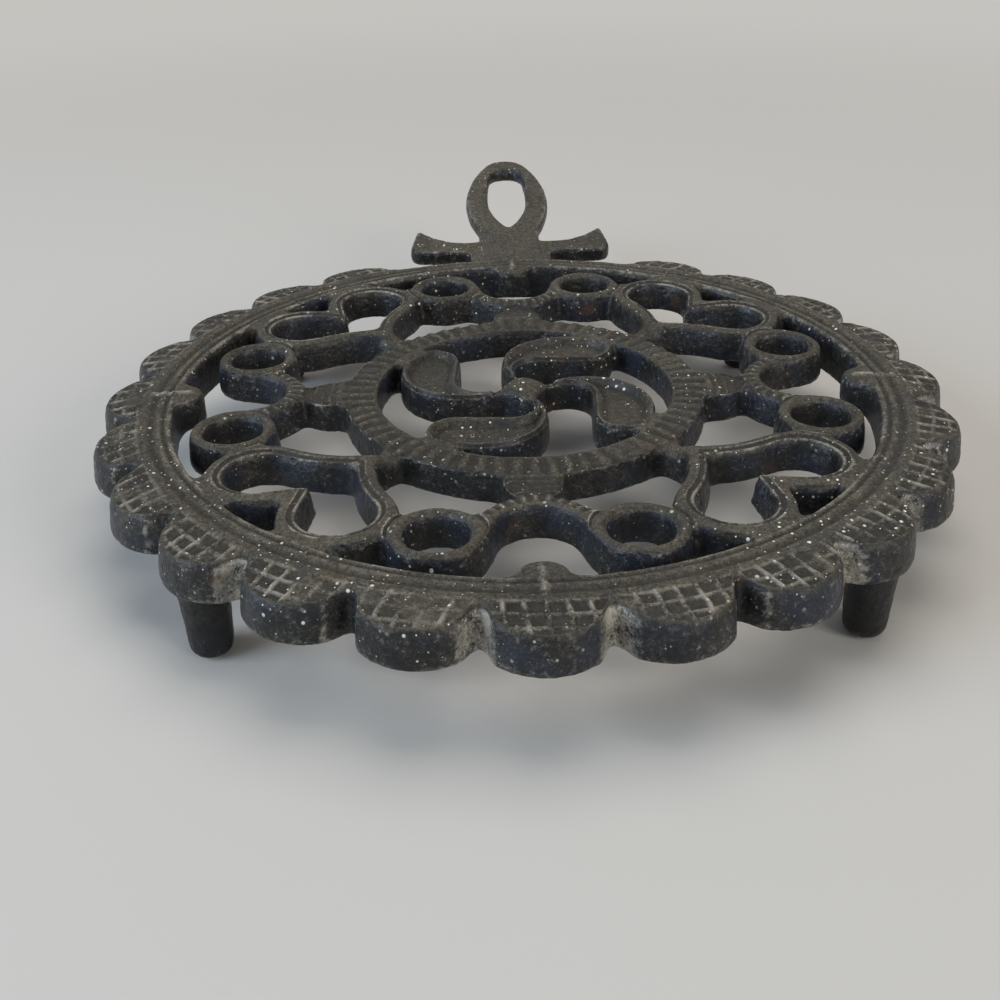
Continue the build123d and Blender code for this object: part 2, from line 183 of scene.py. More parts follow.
# %% A tree on the bench
iron = bpy.data.materials.new("iron")


class Bench:
    """A node tree under construction."""

    def __init__(self, tree):
        self.tree = tree

    def add(self, kind, settings=None, inputs=None, output=0):
        """One node: its settings first, then the values or links of its sockets."""
        node = self.tree.nodes.new(kind)
        for name, value in (settings or {}).items():
            setattr(node, name, value)
        for name, value in (inputs or {}).items():
            if isinstance(value, Wire):
                self.tree.links.new(value.socket, node.inputs[name])
            else:
                node.inputs[name].default_value = value
        return Wire(self, node.outputs[output]) if output is not None else node

    def maths(self, operation, *values):
        """A Math node."""
        return self.add("ShaderNodeMath", {"operation": operation}, dict(enumerate(values)))

    def vector(self, operation, *values):
        """A Vector Math node, with a number out where the operation gives one."""
        output = 1 if operation in ("LENGTH", "DOT_PRODUCT") else 0
        return self.add("ShaderNodeVectorMath", {"operation": operation}, dict(enumerate(values)), output)

    def ramp(self, value, low, high):
        """0 below low, 1 above high and a soft step between."""
        inputs = {"Value": value, "From Min": low, "From Max": high}
        return self.add("ShaderNodeMapRange", {"interpolation_type": "SMOOTHSTEP"}, inputs)

    def band(self, value, low, high, soft):
        """1 between low and high, with soft ends."""
        return self.ramp(value, low - soft, low + soft) * (1 - self.ramp(value, high - soft, high + soft))

    def line(self, distance, width, soft):
        """1 on a line of the given width, falling to 0 over the soft distance."""
        return 1 - self.ramp(distance, width / 2, width / 2 + soft)

    def parts(self, vector):
        """The three numbers of a vector."""
        first = self.add("ShaderNodeSeparateXYZ", None, {0: vector})
        outputs = first.socket.node.outputs
        return [Wire(self, outputs[i]) for i in range(3)]

    def output_of(self, wire, name):
        """Another output of the node that a wire comes from."""
        return Wire(self, wire.socket.node.outputs[name])

    def scaled(self, vector, factor):
        """A vector times a number."""
        return self.add("ShaderNodeVectorMath", {"operation": "SCALE"}, {0: vector, "Scale": factor})

    def attribute(self, name):
        """A value kept on the points, for a shader."""
        return self.output_of(self.add("ShaderNodeAttribute", {"attribute_name": name}), "Fac")

    def noise(self, vector, size, detail, seed=0.0):
        """Soft noise with features of the given size."""
        inputs = {"Vector": vector, "W": seed, "Scale": 1 / size, "Detail": detail}
        return self.add("ShaderNodeTexNoise", {"noise_dimensions": "4D"}, inputs)

    def mix(self, share, first, second):
        """A colour between two colours."""
        return self.add("ShaderNodeMix", {"data_type": "RGBA"}, {0: share, 6: first, 7: second}, 2)

    def finish(self, geometry):
        """Closes a carving tree: plain geometry in iron."""
        geometry = self.add("GeometryNodeRealizeInstances", None, {"Geometry": geometry})
        geometry = self.add("GeometryNodeSetMaterial", None, {"Geometry": geometry, "Material": iron})
        self.add("NodeGroupOutput", None, {"Geometry": geometry}, None)


# %% [markdown]
# The sizes of a carving are inputs of its tree, with names, so that they can be changed on the modifier and
# the tree stays as it is. What the tree makes is read out as a plain mesh and the modifier is taken off, so
# the next step starts from plain faces.

# %% Trees with named sizes


def plain_mesh(thing):
    """The evaluated object as a mesh with no modifiers."""
    bpy.context.view_layer.update()
    return bpy.data.meshes.new_from_object(thing.evaluated_get(bpy.context.evaluated_depsgraph_get()))


def shown(name, mesh):
    """A new object in the scene."""
    thing = bpy.data.objects.new(name, mesh)
    bpy.context.scene.collection.objects.link(thing)
    return thing


def carving_tree(name, sizes):
    """A Geometry Nodes tree with one geometry in, one out and a named input for each size."""
    tree = bpy.data.node_groups.new(name, "GeometryNodeTree")
    tree.interface.new_socket("Geometry", in_out="INPUT", socket_type="NodeSocketGeometry")
    tree.interface.new_socket("Geometry", in_out="OUTPUT", socket_type="NodeSocketGeometry")
    for size, value in sizes.items():
        kind = "NodeSocketObject" if isinstance(value, bpy.types.Object) else "NodeSocketFloat"
        tree.interface.new_socket(size, in_out="INPUT", socket_type=kind)
    bench = Bench(tree)
    entry = bench.add("NodeGroupInput").socket.node
    wires = {socket.name: Wire(bench, socket) for socket in entry.outputs if socket.name}
    return bench, wires


def run_tree(thing, bench, sizes):
    """Puts a tree on an object, sets its inputs by identifier and returns the plain mesh that it makes."""
    modifier = thing.modifiers.new(bench.tree.name, "NODES")
    modifier.node_group = bench.tree
    for item in bench.tree.interface.items_tree:
        if item.in_out == "INPUT" and item.name in sizes:
            modifier[item.identifier] = sizes[item.name]
    mesh = plain_mesh(thing)
    thing.modifiers.remove(modifier)
    return mesh


# %% [markdown]
# ## One skin over all the members
# In the mould the iron ran as one body, so its inner corners are rounded. Bevelling fifty solids where they
# meet would be fragile. A voxel remesh of all of them together closes every joint, and smoothing gives the
# corners their cast fillets.
#
# A pattern has to slide out of the sand, so the bars of the real lattice are wider at the bottom than at
# the top. The frame's walls are upright. Each copy of a member is therefore flared first: its lower corners
# step out along the walls that meet there.

# %% Flared copies of the members
DRAFT = {"heart": 8.0, "arch": 8.0, "eyelet": 6.0, "hub": 3.0, "whirl": 2.0}
SAME_WAY = 0.95
UPRIGHT = 0.3
WELD = 1e-7


def step_out(member, distance, upright_only=False):
    """Moves each corner so that the faces around it step out by the distance at that corner."""
    member.normal_update()
    moves = []
    for corner in member.verts:
        ways = []
        for face in corner.link_faces:
            wanted = abs(face.normal.z) < UPRIGHT or not upright_only
            if wanted and all(face.normal.dot(way) < SAME_WAY for way in ways):
                ways.append(face.normal.copy())
        moves.append(sum(ways, Vector()) * distance(corner.co))
    for corner, move in zip(member.verts, moves):
        corner.co += move


def flared_copy(name):
    """A member with the draft of its kind."""
    member = bmesh.new()
    member.from_mesh(nodes[name].data)
    bmesh.ops.remove_doubles(member, verts=member.verts, dist=WELD)
    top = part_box(name)[1].z
    slope = tan(radians(DRAFT.get(name.split("_")[0], 0.0)))
    step_out(member, lambda spot: slope * (top - spot.z), upright_only=True)
    return member


def joined(names, growth=0.0):
    """Some members as one mesh, each grown on all sides."""
    whole = bmesh.new()
    for name in names:
        member = flared_copy(name)
        step_out(member, lambda spot: growth)
        mesh = bpy.data.meshes.new(name)
        member.to_mesh(mesh)
        member.free()
        whole.from_mesh(mesh)
        bpy.data.meshes.remove(mesh)
    mesh = bpy.data.meshes.new("joined")
    whole.to_mesh(mesh)
    whole.free()
    return mesh


# %% [markdown]
# Most of what follows depends on where a point lies on the plate, so one function gives that place to any
# tree: in millimetres from the middle of the top, and as a radius and an angle.

# %% Where a point is on the plate
FACING_UP = (0.45, 0.8)


def plate_place(b):
    """A point's place in millimetres from the middle of the plate's top, square and polar."""
    position = b.add("GeometryNodeInputPosition")
    normal = b.add("GeometryNodeInputNormal")
    local = b.scaled(b.vector("SUBTRACT", position, tuple(plate_centre)), 1 / MM)
    x, y, z = b.parts(local)
    radius = (x * x + y * y) ** 0.5
    angle = b.maths("ARCTAN2", y, x) * TO_DEGREES
    place = {"position": position, "normal": normal, "local": local, "x": x, "y": y, "z": z}
    place.update(radius=radius, angle=angle, top=b.ramp(b.parts(normal)[2], *FACING_UP))
    return place


# %% [markdown]
# The remesh leaves hard corners. Averaging each point with its neighbours, over and over, rounds them. The
# bars of the lattice are rounder than the border, so the border gets a smaller share of each step.

# %% The skin
VOXEL = 0.42 * MM
SMOOTHING = 26
FILLETS = {"Border share": 0.35}
BORDER_BLEND = 1


def fillet_tree(sizes):
    """Rounds the skin by blurring the places of its points."""
    b, size = carving_tree("fillets", sizes)
    place = plate_place(b)
    border = b.ramp(place["radius"], RIM_INNER - BORDER_BLEND, RIM_INNER + BORDER_BLEND)
    share = 1 - border * (1 - size["Border share"])
    inputs = {"Value": place["position"], "Iterations": SMOOTHING, "Weight": share}
    mean = b.add("GeometryNodeBlurAttribute", {"data_type": "FLOAT_VECTOR"}, inputs)
    b.finish(b.add("GeometryNodeSetPosition", None, {"Geometry": size["Geometry"], "Position": mean}))
    return b


blank = shown("blank", joined(nodes))
remesh = blank.modifiers.new("skin", "REMESH")
remesh.mode = "VOXEL"
remesh.voxel_size = VOXEL
skin = shown("skin", plain_mesh(blank))
bpy.data.objects.remove(blank)
skin.data = run_tree(skin, fillet_tree(FILLETS), FILLETS)
print(f"skin of {len(skin.data.polygons)} faces")

# %% [markdown]
# ## Finer faces where the ornament is
# Hatching lines are half a millimetre wide, so the voxel faces are too coarse for them. Splitting the whole
# skin would make it four times as heavy. Only the top faces of the scallops and of the lattice are split,
# because the walls and the underside carry no drawing.

# %% Finer tops
TOP_DEPTH = 2.5
TOP_SLOPE = 0.5
LATTICE_REACH, BORDER_START = RIM_OUTER - 9, RIM_OUTER - 0.4
HANDLE_SIDE = 60.0


def ornamented(face):
    """Whether a face lies on the top of the scallops or of the lattice."""
    spot = (face.calc_center_median() - plate_centre) / MM
    radius = hypot(spot.x, spot.y)
    border = radius > BORDER_START and spot.y < HANDLE_SIDE
    return face.normal.z > TOP_SLOPE and spot.z > -TOP_DEPTH and (radius < LATTICE_REACH or border)


work = bmesh.new()
work.from_mesh(skin.data)
edges = {edge for face in work.faces if ornamented(face) for edge in face.edges}
bmesh.ops.subdivide_edges(work, edges=list(edges), cuts=1, use_grid_fill=True)
work.to_mesh(skin.data)
work.free()
print(f"{len(edges)} edges split, skin of {len(skin.data.polygons)} faces")

# %% [markdown]
# ## Guide lines for the beads
# A bead follows the inner edge of each heart, and each leaf of the whirl is dished inside a raised border.
# Both keep a distance from an outline, and the outline is already there as the edge of the member's top
# face. It is lifted out of the frame's mesh as bare edges, so that the carving can measure from it.

# %% Guide lines
FLAT = 0.9
LEVEL_ERROR = 0.02 * MM


def top_loops(name):
    """The closed edge loops round a member's top face, as lists of corner places."""
    member = bmesh.new()
    member.from_mesh(nodes[name].data)
    bmesh.ops.remove_doubles(member, verts=member.verts, dist=WELD)
    member.normal_update()
    level = max(corner.co.z for corner in member.verts) - LEVEL_ERROR
    tops = {face for face in member.faces if face.normal.z > FLAT and face.calc_center_median().z > level}
    rim = {edge for edge in member.edges if len(tops.intersection(edge.link_faces)) == 1}
    loops = []
    while rim:
        edge = rim.pop()
        loop = [edge.verts[0], edge.verts[1]]
        onward = edge
        while onward:
            onward = next((e for e in loop[-1].link_edges if e in rim), None)
            if onward:
                rim.discard(onward)
                loop.append(onward.other_vert(loop[-1]))
        loops.append([corner.co.copy() for corner in loop])
    member.free()
    return loops


def spread(loop):
    """How wide a loop is, corner to corner."""
    low = [min(spot[i] for spot in loop) for i in range(3)]
    high = [max(spot[i] for spot in loop) for i in range(3)]
    return (Vector(high) - Vector(low)).length


def guide(name, loops):
    """An object of bare edges along the loops."""
    spots, lines = [], []
    for loop in loops:
        first = len(spots)
        spots.extend(loop)
        lines.extend((first + i, first + i + 1) for i in range(len(loop) - 1))
    mesh = bpy.data.meshes.new(name)
    mesh.from_pydata(spots, lines, [])
    return shown(name, mesh)


hearts = [name for name in nodes if name.startswith("heart_")]
leaves = [name for name in nodes if name.startswith("whirl_leaf_")]
heart_guide = guide("heart_guide", [min(top_loops(name), key=spread) for name in hearts])
leaf_guide = guide("leaf_guide", [max(top_loops(name), key=spread) for name in leaves])
for line in (heart_guide, leaf_guide):
    print(line.name, len(line.data.edges), "edges")

# %% [markdown]
# ## The carved ornament
# The moulder's pattern was cut by hand: squares hatched on the scallops, ribs round the hub, a rope on each
# arch, beads along the hearts. All of it follows a rule of place, so one Geometry Nodes tree works out, for
# each point of the skin, how far it is cut down or raised. Modelling each groove as a piece would give
# thousands of slivers, and a bump map would vanish at the outline.

# %% Repeats round the plate


def fold(b, angle, pitch):
    """The number of the repeat that an angle is in, and the angle from that repeat's middle."""
    number = b.maths("ROUND", angle / pitch)
    return number, angle - number * pitch


def from_axis(b, radius, angle, reach):
    """Distances from a point at the given reach along the axis of a repeat: out, across and straight."""
    out = radius * b.maths("COSINE", angle * TO_RADIANS) - reach
    across = radius * b.maths("SINE", angle * TO_RADIANS)
    return out, across, (out * out + across * across) ** 0.5


# %% [markdown]
# Each scallop is hatched with raised lines: a few that run outwards and three rows across them. The cutter
# worked by eye, so every scallop starts its lines at another place and leans them a little. A texture could
# draw the squares, but they are deep enough to catch the light, so they are cut.

# %% Scallop hatching
HATCH = {"Hatch spacing": 3.3, "Hatch width": 0.3, "Hatch depth": 0.36, "Row spacing": 2.9, "Row start": 0.2}
HANDLE_FADE = 0.5
COLUMN_LEAN, ROW_LEAN = 0.3, 0.1
COLUMN_SOFT, ROW_SOFT = 0.45, 0.4
WOBBLE_SIZE, WOBBLE, ROW_WOBBLE = 3.0, 1.1, 0.6
WORN_SIZE, WORN_SEED, WORN_REST = 7.0, 3.0, 0.35
ROW_REST, ROW_LUCK = 0.35, 0.5
LEAN_SEED = 50


def on_border(b, place):
    """1 on the scalloped border, 0 where the handle takes its place."""
    return b.ramp(abs(place["angle"] - HANDLE_ANGLE), HANDLE_HALF, HANDLE_HALF + HANDLE_FADE)


def to_valley(place, off):
    """The distance to the crease between two scallops, measured round the plate."""
    return (SCALLOP_PITCH / 2 - abs(off)) * TO_RADIANS * place["radius"]


def scallop_hatching(b, size, place):
    """The depth of the squares between the lines, and the lines themselves."""
    number, off = fold(b, place["angle"], SCALLOP_PITCH)
    _, across, reach = from_axis(b, place["radius"], off, SCALLOP_CIRCLE)
    along = place["radius"] - RIM_OUTER
    luck = b.add("ShaderNodeTexWhiteNoise", {"noise_dimensions": "1D"}, {"W": number})
    lean = b.add("ShaderNodeTexWhiteNoise", {"noise_dimensions": "1D"}, {"W": number + LEAN_SEED}) - 0.5
    wobble = (b.noise(place["local"], WOBBLE_SIZE, 1.0) - 0.5) * WOBBLE
    start = across + (luck - 0.5) * size["Hatch spacing"] + along * lean * COLUMN_LEAN + wobble
    column = fold(b, start, size["Hatch spacing"])[1]
    start = along - size["Row start"] + across * lean * ROW_LEAN + wobble * ROW_WOBBLE
    row = fold(b, start, size["Row spacing"])[1]
    columns = b.line(abs(column), size["Hatch width"], COLUMN_SOFT)
    rows = b.line(abs(row), size["Hatch width"], ROW_SOFT) * (ROW_REST + ROW_LUCK * luck)
    lines = b.maths("MAXIMUM", columns, rows)
    worn = b.ramp(b.noise(place["local"], WORN_SIZE, 1.0, WORN_SEED), 0.3, 0.5)
    field = b.ramp(SCALLOP_RADIUS - reach, 0.4, 1.1) * b.ramp(to_valley(place, off), 0.4, 1.0)
    field = field * b.ramp(along, -0.3, 0.2) * on_border(b, place) * place["top"]
    field = field * (WORN_REST + (1 - WORN_REST) * worn)
    return field * (1 - lines) * size["Hatch depth"], field * lines


# %% [markdown]
# Where two scallops meet, the wall turns in to a sharp crease. The smoothed skin leaves a soft trough there,
# so the points near the crease are drawn in towards the rim. Some of the creases have lost their black.

# %% Creases between the scallops
CREASE = {"Crease pinch": 0.5, "Crease width": 2.8}
BARE_REACH, BARE_START, BARE_LUCK = (0.6, 3.4), (0.8, 1.6), (0.1, 0.4)
CREASE_SEED = 9


def scallop_creases(b, size, place):
    """The move that draws a crease in, and where bare iron shows beside it."""
    off = fold(b, place["angle"], SCALLOP_PITCH)[1]
    side = to_valley(place, off)
    along = b.maths("MAXIMUM", place["radius"] - RIM_OUTER, 0.0)
    pinch = along * (1 - b.ramp(side, 0.0, size["Crease width"])) * size["Crease pinch"] * on_border(b, place)
    spoke = b.add("ShaderNodeCombineXYZ", None, {0: place["x"], 1: place["y"]})
    inward = b.scaled(spoke, pinch / place["radius"] * -MM)
    number = b.maths("FLOOR", place["angle"] / SCALLOP_PITCH)
    luck = b.add("ShaderNodeTexWhiteNoise", {"noise_dimensions": "1D"}, {"W": number + CREASE_SEED})
    bare = (1 - b.ramp(side, *BARE_REACH)) * b.ramp(along, *BARE_START) * on_border(b, place)
    return inward, bare * (1 - place["top"]) * b.ramp(luck, *BARE_LUCK)


# %% [markdown]
# The hub ring is ribbed all round like a milled coin, and each arch is notched like a rope. A cosine of the
# angle round the right centre gives both, and a slow noise makes the ribs wander as hand work does. The tabs
# that the arches spring from are rippled, and each tab of the rim carries one raised stroke.

# %% Hub ribs and arch ropes
RIBS = {"Rib count": 66.0, "Rib depth": 0.58, "Rope pitch": 12.0, "Rope depth": 0.42}
TABS = {"Ripple depth": 0.18, "Stroke rise": 0.4}
ARCH_CENTRE, ARCH_OUTER, ARCH_BAND = 55.57, 11.7, 3.9
HUB_TAB_CIRCLE, HUB_TAB_RADIUS = 38.6, 5.6
RIB_WANDER, RIB_WANDER_SIZE = 5, 9.0
RIB_REST, RIB_WORN_SIZE = 0.45, 16.0
RIPPLE_PITCH, RIPPLE_WANDER, TAB_FALL = 1.6, 4, 0.09
ROPE_SPAN, ROPE_FADE = 110.0, 16.0
STROKE_WIDTH, STROKE_SOFT = 0.5, 0.6
STROKE_START, STROKE_END = RIM_OUTER - 9.5, RIM_OUTER - 1.2


def hub_ribs(b, size, place):
    """Hollows between the ribs round the hub."""
    wander = b.noise(place["local"], RIB_WANDER_SIZE, 1.0, 5.0) * RIB_WANDER
    wave = 0.5 - 0.5 * b.maths("COSINE", place["angle"] * TO_RADIANS * size["Rib count"] + wander)
    on_ring = b.band(place["radius"], HUB_INNER + 1.0, HUB_OUTER + 0.3, 0.6)
    worn = b.ramp(b.noise(place["local"], RIB_WORN_SIZE, 1.0, 8.0), 0.3, 0.6)
    return wave * on_ring * place["top"] * size["Rib depth"] * (RIB_REST + (1 - RIB_REST) * worn)


def tab_ripples(b, size, place):
    """Ripples on the hub's tabs, which fall away towards the arch."""
    off = fold(b, place["angle"], QUARTER)[1]
    reach = from_axis(b, place["radius"], off, HUB_TAB_CIRCLE)[2]
    out = place["radius"] - HUB_OUTER
    wander = b.noise(place["local"], 3.0, 1.0) * RIPPLE_WANDER
    wave = 0.5 - 0.5 * b.maths("COSINE", out * (2 * pi / RIPPLE_PITCH) + wander)
    on_tab = b.ramp(out, 0.2, 1.0) * (1 - b.ramp(reach, HUB_TAB_RADIUS - 0.6, HUB_TAB_RADIUS + 0.2))
    return on_tab * (wave * size["Ripple depth"] + out * TAB_FALL) * place["top"]


def arch_ropes(b, size, place):
    """Notches across the four arches, deepest at their outer edge."""
    off = fold(b, place["angle"], QUARTER)[1]
    out, across, reach = from_axis(b, place["radius"], off, ARCH_CENTRE)
    round_arch = b.maths("ARCTAN2", across, -out) * TO_DEGREES
    wave = 0.5 - 0.5 * b.maths("COSINE", round_arch / size["Rope pitch"] * (2 * pi))
    on_arch = b.band(reach, ARCH_OUTER - ARCH_BAND + 1.2, ARCH_OUTER + 0.5, 0.7)
    on_arch = on_arch * b.line(abs(round_arch), ROPE_SPAN, ROPE_FADE)
    return wave * on_arch * place["top"] * size["Rope depth"]


def tab_strokes(b, place):
    """A raised stroke on each tab of the rim."""
    off = fold(b, place["angle"], QUARTER)[1]
    across = from_axis(b, place["radius"], off, 0.0)[1]
    stroke = b.line(abs(across), STROKE_WIDTH, STROKE_SOFT)
    return stroke * b.band(place["radius"], STROKE_START, STROKE_END, 0.5) * place["top"]


# %% [markdown]
# The rim was turned on a lathe, which left two soft grooves round it: a fine one beside the inner bead and a
# broader one nearer the scallops. They could be spun as a profile, but the radius is at hand in the tree, and
# a groove is a line at one radius. The black has kept better in this band than on the other edges, so the
# finish is told where it lies.

# %% Grooves of the rim
TURNING = {"Fine groove": 0.34, "Broad groove": 0.28}
FINE_PLACE, FINE_WIDTH, FINE_SOFT = RIM_INNER + 2.05, 0.3, 0.5
BROAD_PLACE, BROAD_WIDTH, BROAD_SOFT = RIM_INNER + 4.35, 0.5, 0.9
TURNED_BAND = (RIM_INNER + 1.2, RIM_INNER + 6.2)


def rim_grooves(b, size, place):
    """The depth of the two grooves turned into the rim, and the band that they lie in."""
    fine = b.line(abs(place["radius"] - FINE_PLACE), FINE_WIDTH, FINE_SOFT) * size["Fine groove"]
    broad = b.line(abs(place["radius"] - BROAD_PLACE), BROAD_WIDTH, BROAD_SOFT) * size["Broad groove"]
    turned = b.band(place["radius"], *TURNED_BAND, 0.3)
    return (fine + broad) * place["top"], turned * place["top"]


# %% [markdown]
# The rings of the eyelets are rounded like a doughnut, and the button in the middle is a low dome that
# stands clear of the leaves' tails. Bevels would round them evenly. A fall that grows with the distance from
# the crown gives the sagging curve of a casting.

# %% Eyelets and button
ROUNDS = {"Eyelet round": 0.45, "Button rise": 0.42, "Button groove": 0.7}
EYELET_CIRCLE, EYELET_ANGLE, EYELET_HOLE, EYELET_OUTER = 58.0, 16.64, 5.5, 8.3
EYELET_CROWN = (EYELET_HOLE + EYELET_OUTER) / 2
EYELET_HALF = (EYELET_OUTER - EYELET_HOLE) / 2
MOST_FALL = 1.5
BUTTON = 4.5


def eyelet_rounds(b, size, place):
    """How far the ring of an eyelet falls from its crown to its edges."""
    off = abs(fold(b, place["angle"], QUARTER)[1]) - EYELET_ANGLE
    reach = from_axis(b, place["radius"], off, EYELET_CIRCLE)[2]
    share = (reach - EYELET_CROWN) / EYELET_HALF
    inside = 1 - b.ramp(reach, EYELET_OUTER, EYELET_OUTER + 0.6)
    return b.maths("MINIMUM", share * share, MOST_FALL) * inside * place["top"] * size["Eyelet round"]


def button_dome(b, size, place):
    """The dome of the button, less the groove round it."""
    share = place["radius"] / BUTTON
    dome = (1 - 2 * share * share) * (1 - b.ramp(share, 0.95, 1.1)) * size["Button rise"]
    groove = b.band(place["radius"], BUTTON + 0.3, BUTTON + 2.0, 0.6) * size["Button groove"]
    return (dome - groove) * place["top"]


# %% [markdown]
# A bead runs along the inside of each heart with a groove beside it, and the leaves are hollowed like
# spoons. Both follow a curved outline, so their depth depends on the distance to the guide lines.

# %% Heart beads and spooned leaves
BEADS = {"Bead width": 0.9, "Bead groove": 0.5, "Bead depth": 0.34}
SPOONS = {"Leaf border": 1.1, "Leaf slope": 1.7, "Leaf depth": 1.7, "Leaf edge": 0.35}
BEAD_SOFT, CREST_WIDTH = 0.35, 0.3
LEAF_REACH, LEAF_FLOOR = (5.2, 27.6), (-4.4, -4.0)
LEAF_LIP = (0.4, 0.9)


def guide_distance(b, lines, place, level):
    """How far a point is from a guide's edges, seen from above, in millimetres."""
    mesh = b.output_of(b.add("GeometryNodeObjectInfo", None, {"Object": lines}), "Geometry")
    x, y, _ = b.parts(place["position"])
    spot = b.add("ShaderNodeCombineXYZ", None, {0: x, 1: y, 2: level})
    inputs = {"Geometry": mesh, "Sample Position": spot}
    return b.add("GeometryNodeProximity", {"target_element": "EDGES"}, inputs, 1) / MM


def heart_beads(b, size, place):
    """The groove that leaves a bead along the inner edge of a heart, and the crest of the bead."""
    level = heart_guide.data.vertices[0].co.z
    away = guide_distance(b, size["Heart lines"], place, level)
    middle = size["Bead width"] + size["Bead groove"] / 2
    groove = b.line(abs(away - middle), size["Bead groove"], BEAD_SOFT) * place["top"]
    crest = b.line(abs(away - size["Bead width"] / 2), CREST_WIDTH, BEAD_SOFT) * place["top"]
    return groove * size["Bead depth"], crest


def leaf_spoons(b, size, place):
    """The move up or down that lays a point inside a leaf's border on the curve of a spoon."""
    level = leaf_guide.data.vertices[0].co.z
    away = guide_distance(b, size["Leaf lines"], place, level)
    depth = b.ramp(away, size["Leaf border"], size["Leaf border"] + size["Leaf slope"]) * size["Leaf depth"]
    curve = (level - plate_centre.z) / MM - depth
    inside = b.band(place["radius"], *LEAF_REACH, 0.4) * b.ramp(place["z"], *LEAF_FLOOR)
    edge = (1 - b.ramp(away, 0.0, LEAF_LIP[1])) * place["top"] * size["Leaf edge"]
    return ((curve - place["z"]) * b.ramp(away, *LEAF_LIP) - edge) * inside, depth * inside


# %% [markdown]
# Sand leaves its own mark. The walls swell and sink by a tenth of a millimetre, and here and there a grain
# has left a pit. A bump in the finish would do for the grain, but the swell shows on every outline. So two
# noises, coarse and fine, move the whole skin.

# %% Sand marks
SAND = {"Swell size": 5.0, "Swell": 0.18, "Grain size": 1.4, "Grain": 0.12, "Wall grain": 0.16, "Pit": 0.16}
PIT_SCALE, PIT_WIDTH, PIT_SOFT = 0.45, 0.16, 0.25


def sand_marks(b, size, place):
    """How far the sand let the surface sink: more on the walls, which nobody filed."""
    swell = b.noise(place["local"], size["Swell size"], 1.0)
    grain = b.noise(place["local"], size["Grain size"], 2.0)
    pits = b.add("ShaderNodeTexVoronoi", None, {"Vector": place["local"], "Scale": PIT_SCALE})
    pit = b.line(pits, PIT_WIDTH, PIT_SOFT) * b.ramp(swell, 0.45, 0.6)
    rough = size["Grain"] + size["Wall grain"] * (1 - place["top"])
    return swell * size["Swell"] + grain * rough + pit * size["Pit"]


# %% [markdown]
# All the cuts are added up into one move for each point. The tree also keeps a few marks on the points, for
# the finish: the raised lines, the depth of the cuts and of the leaf dishes, which the finish turns into
# painted shade, the bare creases and the turned band.

# %% Carve the skin
DISH_SHADE = 0.13


def stored(b, geometry, name, value, kind="FLOAT"):
    """Keeps a value on the points of a geometry under a name."""
    settings = {"data_type": kind, "domain": "POINT"}
    inputs = {"Geometry": geometry, "Name": name, "Value": value}
    return b.add("GeometryNodeStoreNamedAttribute", settings, inputs)


def relief_tree(sizes):
    """The tree that carves the ornament and leaves its marks on the points."""
    b, size = carving_tree("relief", sizes)
    place = plate_place(b)
    squares, lines = scallop_hatching(b, size, place)
    pinch, valley = scallop_creases(b, size, place)
    groove, crest = heart_beads(b, size, place)
    spoon, dish = leaf_spoons(b, size, place)
    hollows = squares + groove + hub_ribs(b, size, place) + arch_ropes(b, size, place)
    grooves, turned = rim_grooves(b, size, place)
    hollows = hollows + tab_ripples(b, size, place) + grooves
    strokes = tab_strokes(b, place)
    raised = strokes * size["Stroke rise"] + button_dome(b, size, place) + spoon
    raised = raised - eyelet_rounds(b, size, place)
    cut = b.add("ShaderNodeCombineXYZ", None, {2: (raised - hollows) * MM})
    sink = b.scaled(place["normal"], sand_marks(b, size, place) * -MM)
    target = b.vector("ADD", place["position"], b.vector("ADD", b.vector("ADD", cut, pinch), sink))
    target = b.vector("MINIMUM", b.vector("MAXIMUM", target, tuple(cad_box[0])), tuple(cad_box[1]))
    lines = b.maths("MAXIMUM", b.maths("MAXIMUM", lines, crest), strokes)
    geometry = stored(b, size["Geometry"], "hatch", lines)
    # The cut depth, with a share for the leaf dishes, which the finish darkens as painted shade.
    geometry = stored(b, geometry, "carved", hollows + dish * DISH_SHADE)
    geometry = stored(b, geometry, "valley", valley)
    geometry = stored(b, geometry, "turned", turned)
    geometry = b.add("GeometryNodeSetPosition", None, {"Geometry": geometry, "Position": target})
    b.finish(geometry)
    return b


relief_sizes = {**HATCH, **CREASE, **RIBS, **TABS, **TURNING, **ROUNDS, **BEADS, **SPOONS, **SAND}
relief_sizes.update({"Heart lines": heart_guide, "Leaf lines": leaf_guide})
skin.data = run_tree(skin, relief_tree(relief_sizes), relief_sizes)
print(f"carved {len(skin.data.vertices)} points")

# %% [markdown]
# ## Where the finish wears and where it paints shade
# Years of wiping polish the high edges, and the corners get painted shade. The finish needs to know which is
# which. Where a point stands proud of the average of its neighbours it is an edge, and where it lies below
# them it is a corner. Blurring the positions over the mesh gives that average, close by and further off.

# %% Edges and corners
WEAR_STEPS = {"edge_near": 4, "edge_far": 40}


def wear_tree():
    """Keeps how proud each point stands of its surroundings, and its normal, on the points."""
    b, size = carving_tree("wear", {})
    position = b.add("GeometryNodeInputPosition")
    normal = b.add("GeometryNodeInputNormal")
    geometry = size["Geometry"]
    for name, steps in WEAR_STEPS.items():
        settings = {"data_type": "FLOAT_VECTOR"}
        mean = b.add("GeometryNodeBlurAttribute", settings, {"Value": position, "Iterations": steps})
        proud = b.vector("DOT_PRODUCT", b.vector("SUBTRACT", position, mean), normal) / MM
        geometry = stored(b, geometry, name, proud)
    geometry = stored(b, geometry, "skin_normal", normal, "FLOAT_VECTOR")
    b.finish(geometry)
    return b


skin.data = run_tree(skin, wear_tree(), {})
for name in ("hatch", "carved", *WEAR_STEPS):
    values = np.empty(len(skin.data.vertices), np.float32)
    skin.data.attributes[name].data.foreach_get("value", values)
    print(name, [round(float(v), 3) for v in np.percentile(values, (1, 10, 50, 90, 99))])

